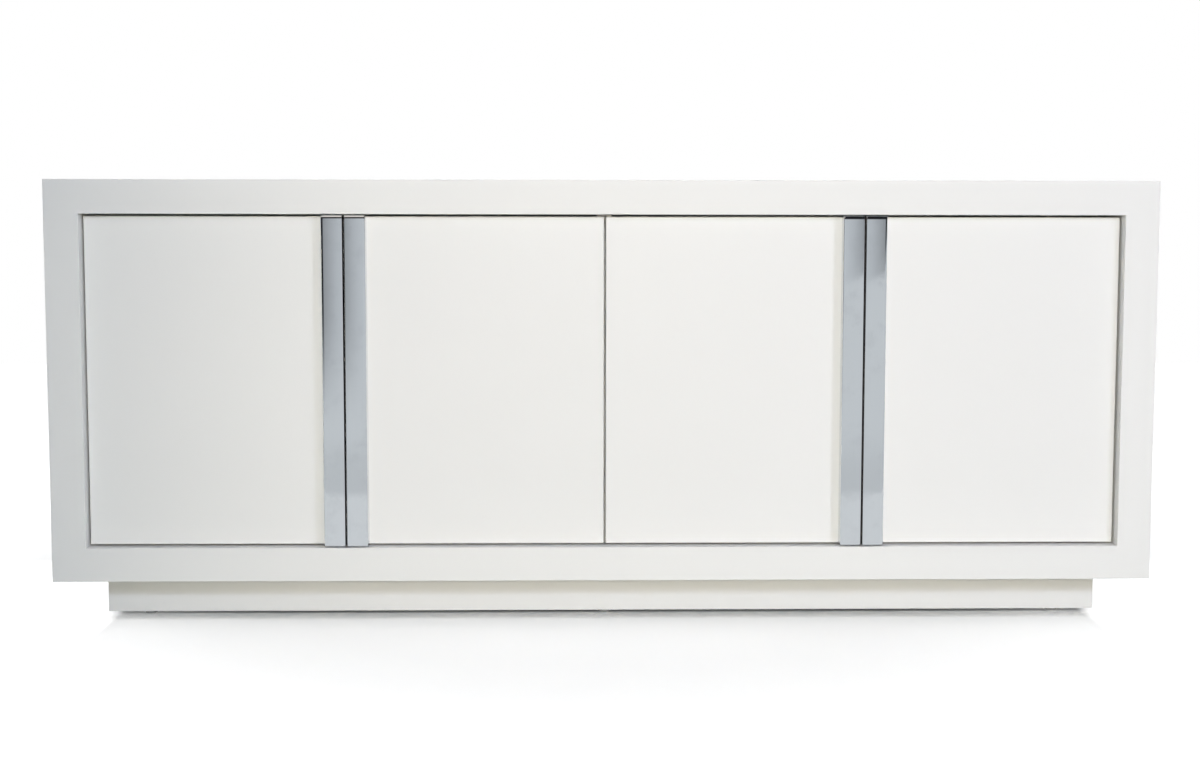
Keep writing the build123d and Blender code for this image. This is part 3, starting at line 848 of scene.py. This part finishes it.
@dataclass(frozen=True)
class BarPull(SubAssembly):
    """Rectangular bar with a slightly pillowed face, bevelled ends and tight corners.

    Its outer edge is the one away from the door's free edge.
    """

    door: str
    corner_radii: Point = (0.6 * MM, 0.7 * MM, 0.6 * MM)
    crown: float = 0.12 * MM
    crown_along: float = 0.25
    pillow_width: float = 3.4 * MM
    pillow_slope: float = 0.155
    bevel_width: float = 4.2 * MM
    bevel_slope: float = 0.53
    bevel_lead: float = 1.9 * MM
    bevel_lead_slope: float = 0.25
    ease_steps: int = 16
    face_steps: int = 14
    side_steps: int = 4
    length_steps: int = 40
    end_rings: int = 11
    first_ring: float = 0.1

    def build(self) -> None:
        """Make the bar in the box of its CAD node."""
        node = f"{self.door}_pull"
        low, high = (np.array(corner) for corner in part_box(node))
        panel_low, panel_high = (np.array(corner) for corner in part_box(f"{self.door}_door_panel"))
        outward = -1.0 if (low + high)[0] > (panel_low + panel_high)[0] else 1.0
        shape = self.surface(low, high, outward)
        place_piece(f"{self.door}_bar_pull", shape, f"{self.door}_door", CHROME, [node])

    def stations(self, half: float, margin: float, steps: int) -> np.ndarray:
        """Places from -half to half, close together towards both ends.

        Args:
            half: Half of the whole stretch.
            margin: Length at each end where the places draw together.
            steps: Places between the two margins.

        Returns:
            The places in rising order.
        """
        sweep = half - margin + margin * np.sin(np.linspace(0, QUARTER, self.ease_steps))
        middle = np.linspace(-half + margin, half - margin, steps + 2)[1:-1]
        return np.concatenate([-sweep[::-1], middle, sweep])

    def fall(self, x: np.ndarray, z: np.ndarray, half: np.ndarray, outward: float) -> np.ndarray:
        """How far the face falls back from its highest line.

        crown ((x / w)^2 + a (z / h)^2), with half sizes w and h and a share a along the bar,
        plus a pillow s p u^2 / 2 along the outer edge, with its slope s, its width p and
        u = 1 - (distance from the edge) / p held to 0..1, plus a lead-in of the same kind and
        a flat bevel at each end.

        Args:
            x: Places across the bar, from its middle.
            z: Places along the bar, from its middle.
            half: Half sizes of the bar.
            outward: -1 if the outer edge is towards -X, 1 if towards +X.

        Returns:
            The fall at every place.
        """
        rise = (x / half[0]) ** 2 + self.crown_along * (z / half[2]) ** 2
        edge = np.clip(1 - (half[0] - outward * x) / self.pillow_width, 0, 1)
        pillow = self.pillow_slope * self.pillow_width / 2 * edge**2
        to_end = half[2] - np.abs(z)
        lead = np.clip(1 - (to_end - self.bevel_width) / self.bevel_lead, 0, 1)
        ends = self.bevel_lead_slope * self.bevel_lead / 2 * lead**2
        bevel = self.bevel_slope * np.clip(self.bevel_width - to_end, 0, None)
        return self.crown * rise + pillow + ends + bevel

    def surface(self, low: np.ndarray, high: np.ndarray, outward: float) -> Surface:
        """Rounded box p = c + R d, flat at the back, with the front sheared by the fall.

        For a point q on the plain box, c is q held within the box less its corner radii R,
        and d is the unit vector of (q - c) / R. Each point then moves back by the fall times
        its share of the depth.

        Args:
            low: Lowest corner of the bar.
            high: Highest corner of the bar.
            outward: -1 if the outer edge is towards -X, 1 if towards +X.

        Returns:
            The closed surface of the bar.
        """
        radii = np.array(self.corner_radii)
        middle = (low + high) / 2
        half = (high - low) / 2
        half[1] += radii[1] / 2
        middle[1] += radii[1] / 2
        x = self.stations(half[0], self.pillow_width + radii[0], self.face_steps)
        y = self.stations(half[1], 2 * radii[1], self.side_steps)
        end = self.bevel_width + self.bevel_lead + radii[2]
        z = self.stations(half[2], end, self.length_steps)
        front, right = np.full_like(x, -half[1]), np.full_like(y, half[0])
        sides = [(x, front), (right, y), (x[::-1], -front), (-right, y[::-1])]
        outline = np.concatenate([np.stack(side, axis=1)[:-1] for side in sides])
        growing = np.linspace(self.first_ring, 1.0, self.end_rings + 1)[:-1]
        scales = np.concatenate([growing, np.ones(len(z)), growing[::-1]])
        cap = np.full(self.end_rings, half[2])
        plain = np.empty((len(scales), len(outline), 3))
        plain[..., :2] = outline * scales[:, None, None]
        plain[..., 2] = np.concatenate([-cap, z, cap])[:, None]
        inner = np.clip(plain, radii - half, half - radii)
        away = (plain - inner) / radii
        length = np.linalg.norm(away, axis=-1, keepdims=True)
        rings = inner + radii * away / np.maximum(length, np.finfo(float).tiny)
        share = np.clip((half[1] - rings[..., 1]) / (2 * half[1] - radii[1]), 0, 1)
        rings[..., 1] += share * self.fall(rings[..., 0], rings[..., 2], half, outward)
        rings += middle
        rings[..., 1] = np.minimum(rings[..., 1], high[1])
        poles = [middle + (0, 0, -half[2]), middle + (0, 0, half[2])]
        return capped_rings(rings, *poles)


# Sub-assemblies


@dataclass(frozen=True)
class CaseShell(SubAssembly):
    """Mitred slabs, partition, shelves and back panel."""

    outside: tuple[str, ...] = ("case_top", "case_bottom", "case_left_side", "case_right_side")
    inside: tuple[str, ...] = ("centre_partition", "left_shelf", "right_shelf", "back_panel")

    def dress(self) -> None:
        """Finish the boards and the dowels in their joints."""
        for node in self.outside:
            finish_node(node, LACQUER)
        for node in self.inside:
            finish_node(node, INNER_LACQUER)
        finish_node("case_dowels", BEECH)


@dataclass(frozen=True)
class PlinthBase(SubAssembly):
    """Recessed plinth with its brace, corner blocks and glides."""

    rails: tuple[str, ...] = ("front", "rear", "left", "right")
    around: int = 48
    rim_share: float = 0.9
    rim_round: float = 1.2 * MM
    rim_steps: int = 6
    foot_shares: tuple[float, ...] = (0.3, 0.6, 0.8)

    def dress(self) -> None:
        """Finish the rails, brace and blocks."""
        for rail in self.rails:
            finish_node(f"plinth_{rail}_rail", LACQUER)
        finish_node("plinth_brace", INNER_LACQUER)
        finish_node("plinth_corner_blocks", BIRCH)

    def build(self) -> None:
        """Make the glides, each a disc with a rounded rim and its nail."""
        glides = [self.glide(points) for points in loose_parts("floor_glides")]
        place_piece("moulded_glides", joined(glides), "case", GREY_PLASTIC, ["floor_glides"])

    def glide(self, points: np.ndarray) -> Surface:
        """Glide on one CAD solid: flat foot, quarter-round rim, then the nail up its axis.

        Args:
            points: The solid's corners.

        Returns:
            The glide in its place.
        """
        low, high, middle = extent(points)
        radius, height = (high[0] - low[0]) / 2, high[2] - low[2]
        aside = np.abs(points[:, 0] - middle[0])
        wide = aside > radius * self.rim_share
        disc = points[wide, 2].max() - low[2]
        nail = aside[~wide & (points[:, 2] > low[2] + disc + MM)].max()
        rim = self.rim_round
        turn = np.linspace(0, QUARTER, self.rim_steps)
        foot = [(0.0, 0.0)] + [(radius * share, 0.0) for share in self.foot_shares]
        edge = [(radius - rim + rim * math.sin(a), rim - rim * math.cos(a)) for a in turn]
        top = [(radius, disc), (nail, disc), (nail, height - 2 * nail), (0.0, height)]
        shape = turned(foot + edge + top, self.around)
        return shape.moved(np.eye(3), np.array([middle[0], middle[1], low[2]]))


@dataclass(frozen=True)
class BackFittings(SubAssembly):
    """Cable grommets and the back panel's screws."""

    around: int = 72
    lip_round: float = 0.9 * MM
    lip_ease: float = 0.36 * MM
    sleeve_ease: float = 0.4 * MM
    round_steps: int = 6

    def build(self) -> None:
        """Make the grommets and screws."""
        rings = [self.grommet(points) for points in loose_parts("cable_grommets")]
        place_piece("lipped_grommets", joined(rings), "case", GREY_PLASTIC, ["cable_grommets"])
        ScrewSet("back_panel_screws", "case").build()

    def grommet(self, points: np.ndarray) -> Surface:
        """Ring with a rolled lip on the rear face, turned about the port's axis.

        Args:
            points: Corners of the CAD solid, a sleeve with a flat lip.

        Returns:
            The grommet in its place.
        """
        low, high, middle = extent(points)
        depth = high[1] - low[1]
        reach = np.hypot(points[:, 0] - middle[0], points[:, 2] - middle[2])
        lip, bore = reach.max(), reach.min()
        sleeve = reach[points[:, 1] < low[1] + TOUCH].max()
        start = points[reach > (lip + sleeve) / 2, 1].min() - low[1]
        rim, ease, bevel = self.lip_round, self.lip_ease, self.sleeve_ease
        outline = [(bore, 0.0), (sleeve - bevel, 0.0), (sleeve, bevel), (sleeve, start)]
        outline += [(lip - ease, start), (lip, start + ease)]
        turn = np.linspace(0, QUARTER, self.round_steps)
        by_sine, by_cosine = rim * (1 - np.sin(turn)), rim * (1 - np.cos(turn))
        outline += list(zip(lip - by_cosine, depth - by_sine))
        outline += list(zip(bore + by_sine, depth - by_cosine))
        shape = turned_tube(np.array(outline), self.around)
        return shape.moved(frame_along((0, 1, 0)), np.array([middle[0], low[1], middle[2]]))


@dataclass(frozen=True)
class ShelfPins(SubAssembly):
    """Steel shelf pins with a thin collar against the wall."""

    around: int = 32
    collar_radius: float = 4.2 * MM
    collar_thickness: float = 1.0 * MM
    bore_depth: float = 9.0 * MM
    tip_round: float = 0.8 * MM
    tip_steps: int = 5
    walls: tuple[str, ...] = ("case_left_side", "centre_partition", "case_right_side")

    def build(self) -> None:
        """Make every pin on the place of its CAD solid."""
        pins = [self.pin(points) for points in loose_parts("shelf_pins")]
        place_piece("collared_shelf_pins", joined(pins), "case", STEEL, ["shelf_pins"])

    def pin(self, points: np.ndarray) -> Surface:
        """Pin along X: bevelled end in the board, collar, then a rounded tip under the shelf.

        Args:
            points: Corners of the pin's CAD solid, which starts inside a wall.

        Returns:
            The pin in its place.
        """
        low, high, middle = extent(points)
        radius, length = (high[2] - low[2]) / 2, high[0] - low[0]
        boxes = [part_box(wall) for wall in self.walls]
        from_left = any(a.x - MM < low[0] < b.x < high[0] for a, b in boxes)
        direction, start = (1.0, low[0]) if from_left else (-1.0, high[0])
        tip, bore, collar = self.tip_round, self.bore_depth, self.collar_radius
        shoulder = bore + self.collar_thickness
        profile = [(0.0, 0.0), (radius - tip, 0.0), (radius, tip), (radius, bore)]
        profile += [(collar, bore), (collar, shoulder), (radius, shoulder)]
        for angle in np.linspace(0, QUARTER, self.tip_steps):
            rise = length - tip + tip * math.sin(angle)
            profile.append((radius - tip + tip * math.cos(angle), rise))
        shape = turned(profile + [(0.0, length)], self.around)
        return shape.moved(frame_along((direction, 0, 0)), np.array([start, *middle[1:]]))


@dataclass(frozen=True)
class DoorLeaf(SubAssembly):
    """One door with its bar pull, hinges, strike plate and screws."""

    door: str
    steel: tuple[str, ...] = (
        "hinge_cups", "hinge_pins", "hinge_plates", "hinge_arms", "strike_plate"
    )

    def dress(self) -> None:
        """Finish the parts that keep their CAD shape."""
        finish_node(f"{self.door}_door_panel", LACQUER)
        for part in self.steel:
            finish_node(f"{self.door}_{part}", STEEL)

    def build(self) -> None:
        """Make the bar pull and the screws."""
        BarPull(self.door).build()
        for part in ("pull_screws", "door_screws"):
            ScrewSet(f"{self.door}_{part}", f"{self.door}_door").build()


@dataclass(frozen=True)
class Catches(SubAssembly):
    """Magnetic catches under the case top."""

    def dress(self) -> None:
        """Finish the housings and magnets."""
        finish_node("catch_housings", WHITE_PLASTIC)
        finish_node("catch_magnets", MAGNET)

    def build(self) -> None:
        """Make the catch screws."""
        ScrewSet("catch_screws", "case").build()


# Camera and lamps


@dataclass(frozen=True)
class ViewCamera:
    """Camera in front of the doors, a little left of the middle; its lens is in millimetres."""

    place: Point = (-0.0654, -2.9695, 0.6201)
    heading: float = 1.196
    tilt: float = 4.693
    roll: float = 0.0655
    lens: float = 50.0
    sensor: float = 36.0

    def build(self) -> None:
        """Add the camera, aimed by its heading to the right, tilt down and roll."""
        yaw, pitch, roll = (math.radians(a) for a in (self.heading, self.tilt, self.roll))
        ahead = Vector((math.sin(yaw), math.cos(yaw), 0.0))
        level = Vector((math.cos(yaw), -math.sin(yaw), 0.0))
        forward = ahead * math.cos(pitch) - Vector((0.0, 0.0, math.sin(pitch)))
        up = level.cross(forward)
        right = level * math.cos(roll) + up * math.sin(roll)
        turn = Matrix((right, right.cross(forward), -forward)).transposed()
        data = bpy.data.cameras.new("view")
        data.lens = self.lens
        data.sensor_width = self.sensor
        camera = bpy.data.objects.new("view", data)
        camera.matrix_world = Matrix.Translation(self.place) @ turn.to_4x4()
        bpy.context.scene.collection.objects.link(camera)
        bpy.context.scene.camera = camera
        log.info("camera at %s", self.place)


@dataclass(frozen=True)
class Lamp:
    """Lamp aimed at a point, seen neither by the camera nor in mirrors."""

    name: str
    place: Point
    target: Point
    power: float

    def light(self) -> bpy.types.Light:
        """Light of the lamp; each kind makes its own."""
        raise NotImplementedError

    def build(self) -> bpy.types.Object:
        """Add the lamp.

        Returns:
            The lamp's object.
        """
        data = self.light()
        data.energy = self.power
        lamp = bpy.data.objects.new(self.name, data)
        lamp.location = self.place
        aim = Vector(self.target) - Vector(self.place)
        lamp.rotation_euler = aim.to_track_quat("-Z", "Y").to_euler()
        lamp.visible_camera = False
        lamp.visible_glossy = False
        bpy.context.scene.collection.objects.link(lamp)
        log.info("lamp %s", self.name)
        return lamp


@dataclass(frozen=True)
class SoftLamp(Lamp):
    """Rectangular white soft lamp."""

    width: float
    height: float

    def light(self) -> bpy.types.Light:
        """Area light of the lamp's size.

        Returns:
            The light.
        """
        data = bpy.data.lights.new(self.name, "AREA")
        data.shape = "RECTANGLE"
        data.size = self.width
        data.size_y = self.height
        return data


@dataclass(frozen=True)
class SpotLamp(Lamp):
    """Round spot whose beam fades out towards its edge."""

    radius: float
    cone: float
    blend: float
    colour: Colour

    def light(self) -> bpy.types.Light:
        """Spot light with a soft beam.

        Returns:
            The light.
        """
        data = bpy.data.lights.new(self.name, "SPOT")
        data.shadow_soft_size = self.radius
        data.color = self.colour
        data.spot_size = math.radians(self.cone)
        data.spot_blend = self.blend
        return data


OBJECT_LAMPS = (
    SpotLamp(
        "high_spot", (0.2, -4.6, 2.34), (0.2, -0.2, 0.4), 192.0,
        radius=0.25, cone=50.0, blend=0.6, colour=(0.875, 1.0, 1.166),
    ),
    SpotLamp(
        "right_spot", (2.85, -3.8, 1.6), (0.6, -0.2, 0.4), 170.0,
        radius=0.3, cone=60.0, blend=0.6, colour=(0.974, 1.0, 1.224),
    ),
    SpotLamp(
        "low_spot", (0.4, -3.8, 0.7), (0.75, -0.2, 0.4), 38.4,
        radius=0.4, cone=56.0, blend=0.45, colour=(1.196, 1.0, 1.013),
    ),
    SpotLamp(
        "middle_spot", (0.1, -3.8, 0.7), (0.3, -0.2, 0.4), 186.0,
        radius=0.4, cone=52.0, blend=0.8, colour=(1.09, 1.0, 0.787),
    ),
    SoftLamp("back_left", (-1.8, 3.2, 1.8), (0.0, 0.2, 0.4), 76.0, width=2.4, height=1.6),
    SoftLamp("back_right", (2.2, 2.8, 1.5), (0.2, 0.2, 0.4), 46.0, width=2.0, height=1.6),
    SoftLamp("overhead", (0.0, 0.3, 2.8), (0.0, 0.2, 0.7), 14.0, width=2.4, height=1.2),
    SoftLamp("left_side", (-2.8, 0.6, 1.0), (-0.9, 0.0, 0.4), 24.0, width=1.6, height=1.2),
    SoftLamp("right_side", (2.8, 0.6, 1.0), (0.9, 0.0, 0.4), 24.0, width=1.6, height=1.2),
)
CONTACT_LAMP = SoftLamp("floor_contact", (0.0, 0.0, 0.4), (0.0, 0.0, 0.0), 21.5, 6.0, 5.0)
FRONT_LAMP = SoftLamp("floor_front", (0.0, -1.7, 3.0), (0.0, -0.3, 0.0), 81.0, 5.0, 1.4)


# Floor and surround


@dataclass(frozen=True)
class PaperFloor:
    """White paper floor with two lamps of its own.

    The lamp over the middle casts the shadow of the plinth and the glides alone, and the
    lamp in front that of the whole cabinet. The paper glows faintly, and more strongly far
    from the cabinet and beside the ends of its front, where it reads pure white; the glow
    beside the ends is painted light that washes out the cabinet's own shadow there.
    """

    front: float = -1.68
    back: float = 6.0
    side: float = 6.0
    paper: Colour = (0.9, 0.9, 0.9)
    worn: float = 0.985
    grain_scale: float = 300.0
    bounce: Colour = (0.242, 0.278, 0.274)
    mirrored: Colour = (0.865, 0.89, 0.9)
    glow: float = 0.033
    rim_glow: float = 0.933
    rim_span: Span = (0.5, 2.0)
    end_span: Span = (0.808, 0.845)
    end_depth: Span = (0.14, 0.5)
    base_parts: tuple[str, ...] = ("plinth_front_rail", "plinth_rear_rail", "moulded_glides")

    def build(self) -> None:
        """Add the paper and its own lamps; the lamps made before them don't light it."""
        floor = self.sheet()
        only_floor = bpy.data.collections.new("only_floor")
        only_floor.objects.link(floor)
        not_floor = bpy.data.collections.new("not_floor")
        not_floor.objects.link(floor)
        not_floor.collection_objects[0].light_linking.link_state = "EXCLUDE"
        for lamp in [thing for thing in bpy.data.objects if thing.type == "LIGHT"]:
            lamp.light_linking.receiver_collection = not_floor
        base = bpy.data.collections.new("plinth_shadow")
        for name in self.base_parts:
            base.objects.link(bpy.data.objects[name])
        contact, front = CONTACT_LAMP.build(), FRONT_LAMP.build()
        contact.light_linking.receiver_collection = only_floor
        contact.light_linking.blocker_collection = base
        front.light_linking.receiver_collection = only_floor

    def sheet(self) -> bpy.types.Object:
        """Flat sheet that reaches far behind the cabinet.

        Returns:
            The sheet's object.
        """
        mesh = bpy.data.meshes.new("paper_floor")
        edges = ((-self.side, self.front), (self.side, self.front))
        edges += ((self.side, self.back), (-self.side, self.back))
        mesh.from_pydata([(*corner, 0.0) for corner in edges], [], [(0, 1, 2, 3)])
        mesh.materials.append(self.material())
        floor = bpy.data.objects.new("paper_floor", mesh)
        bpy.context.scene.collection.objects.link(floor)
        return floor

    def material(self) -> bpy.types.Material:
        """Paper with a glow for the camera, a dim bounce and a plain image in mirrors.

        Returns:
            The paper's material.
        """
        made = bpy.data.materials.new("white_paper")
        made.use_nodes = True
        graph = Graph(made.node_tree)
        place = graph.coordinates()
        grain = graph.noise(place, self.grain_scale, detail=3.0)
        own = graph.mix(grain, scaled(self.paper, self.worn), self.paper)
        sheet = graph.mix(graph.ray("Diffuse"), own, self.bounce)
        matt = graph.node("ShaderNodeBsdfDiffuse", {}, {"Color": sheet})
        glow = graph.node("ShaderNodeEmission", {}, {"Color": self.glowing(graph, place)})
        image = graph.node("ShaderNodeEmission", {}, {"Color": (*self.mirrored, 1.0)})
        both = graph.node("ShaderNodeAddShader", {}, {0: matt.outputs[0], 1: glow.outputs[0]})
        paper = graph.node(
            "ShaderNodeMixShader",
            {},
            {0: graph.ray("Glossy"), 1: both.outputs[0], 2: image.outputs[0]},
        )
        graph.node("ShaderNodeOutputMaterial", {}, {"Surface": paper.outputs[0]})
        return made

    def glowing(self, graph: Graph, place: Wire) -> Wire:
        """Glow of the paper, for the camera and for rays that pass through glass.

        Args:
            graph: Node tree of the paper.
            place: Place on the floor.

        Returns:
            The colour of the glow.
        """
        away = graph.node("ShaderNodeVectorMath", {"operation": "LENGTH"}, {0: place})
        far = Wire(graph, away.outputs["Value"]).ramp(*self.rim_span)
        x, y, _ = graph.axes(place)
        # Painted light: beside the ends of the front the glow rises to wash out the cabinet's
        # shadow on the floor.
        beside = abs(x).ramp(*self.end_span) * (1 - y.ramp(*self.end_depth))
        rim = graph.math("MAXIMUM", far, beside)
        lit = graph.mix(rim, scaled(WHITE, self.glow), scaled(WHITE, self.rim_glow))
        return graph.mix(graph.ray("Camera") + graph.ray("Transmission"), BLACK, lit)


@dataclass(frozen=True)
class Surround:
    """White surround, with an even ambient light and a room that only mirrors see.

    Directions in the room are slopes: so far aside to the right and so far up for each
    metre ahead of the cabinet's front.
    """

    ambient: Colour = (0.155, 0.16, 0.168)
    dark: Colour = (0.02, 0.021, 0.024)
    wall: Colour = (0.75, 0.785, 0.81)
    ground: Colour = (0.79, 0.82, 0.835)
    ceiling: Colour = (1.0, 0.93, 0.85)
    nearest: float = 0.05
    ground_edge: Span = (0.03, 0.115)
    near_ground: Span = (0.105, 0.14)
    near_share: float = 0.9
    step_slope: float = 0.09
    step_edge: Span = (0.0325, 0.0345)
    step_start: Span = (-0.02, 0.02)
    strip_middle: float = 0.024
    strip_edge: Span = (0.1, 0.29)
    strip_top: Span = (0.03, 0.1)
    ceiling_edge: Span = (1.0, 1.3)
    ceiling_side: Span = (0.0, 0.15)
    behind: Span = (-0.1, 0.2)

    def build(self) -> None:
        """Make the world: white to the camera, the room to mirrors, ambient to the rest."""
        world = bpy.data.worlds.new("surround")
        bpy.context.scene.world = world
        world.use_nodes = True
        graph = Graph(world.node_tree)
        source = graph.node("ShaderNodeTexCoord", {}, {})
        x, y, z = graph.axes(source.outputs["Generated"])
        ahead = graph.math("MAXIMUM", -y, self.nearest)
        glossy = graph.mix(y.ramp(*self.behind), self.room(graph, x / ahead, z / ahead), WHITE)
        shown = graph.mix(graph.ray("Glossy"), self.ambient, glossy)
        seen = graph.ray("Camera") + graph.ray("Transmission")
        colour = graph.mix(seen, shown, WHITE)
        background = graph.node("ShaderNodeBackground", {}, {"Color": colour, "Strength": 1.0})
        graph.node("ShaderNodeOutputWorld", {}, {"Surface": background.outputs[0]})

    def room(self, graph: Graph, aside: Wire, above: Wire) -> Wire:
        """Dark room with a lit strip of wall, a lit ground and a warm ceiling to the left.

        The ground's edge is soft, with a crisp step in it to the right of the middle.

        Args:
            graph: Node tree of the world.
            aside: Slope to the right.
            above: Slope upwards.

        Returns:
            The room's colour.
        """
        step = (aside * self.step_slope - above).ramp(*self.step_edge)
        step = step * aside.ramp(*self.step_start)
        lower = graph.math("MAXIMUM", (-above).ramp(*self.ground_edge), step)
        across = 1 - abs(aside - self.strip_middle).ramp(*self.strip_edge)
        strip = across * (1 - above.ramp(*self.strip_top))
        near = scaled(self.ground, self.near_share)
        ground = graph.mix((-above).ramp(*self.near_ground), self.ground, near)
        wall = graph.mix(lower, self.wall, ground)
        room = graph.mix(strip + (1 - strip) * lower, self.dark, wall)
        overhead = above.ramp(*self.ceiling_edge) * (1 - aside.ramp(*self.ceiling_side))
        return graph.mix(overhead, room, self.ceiling)


def main() -> None:
    """Build and dress every sub-assembly in order."""
    logging.basicConfig(level=logging.INFO, format="%(message)s")
    bpy.context.scene.view_settings.view_transform = "Standard"
    ViewCamera().build()
    on_case = (CaseShell(), PlinthBase(), BackFittings(), ShelfPins(), Catches())
    screws = (ScrewSet("hinge_screws", "case"), ScrewSet("plinth_screws", "case"))
    for part in (*on_case, *screws, *(DoorLeaf(door) for door in DOORS)):
        part.dress()
        part.build()
    for lamp in OBJECT_LAMPS:
        lamp.build()
    PaperFloor().build()
    Surround().build()


if __name__ == "__main__":
    main()
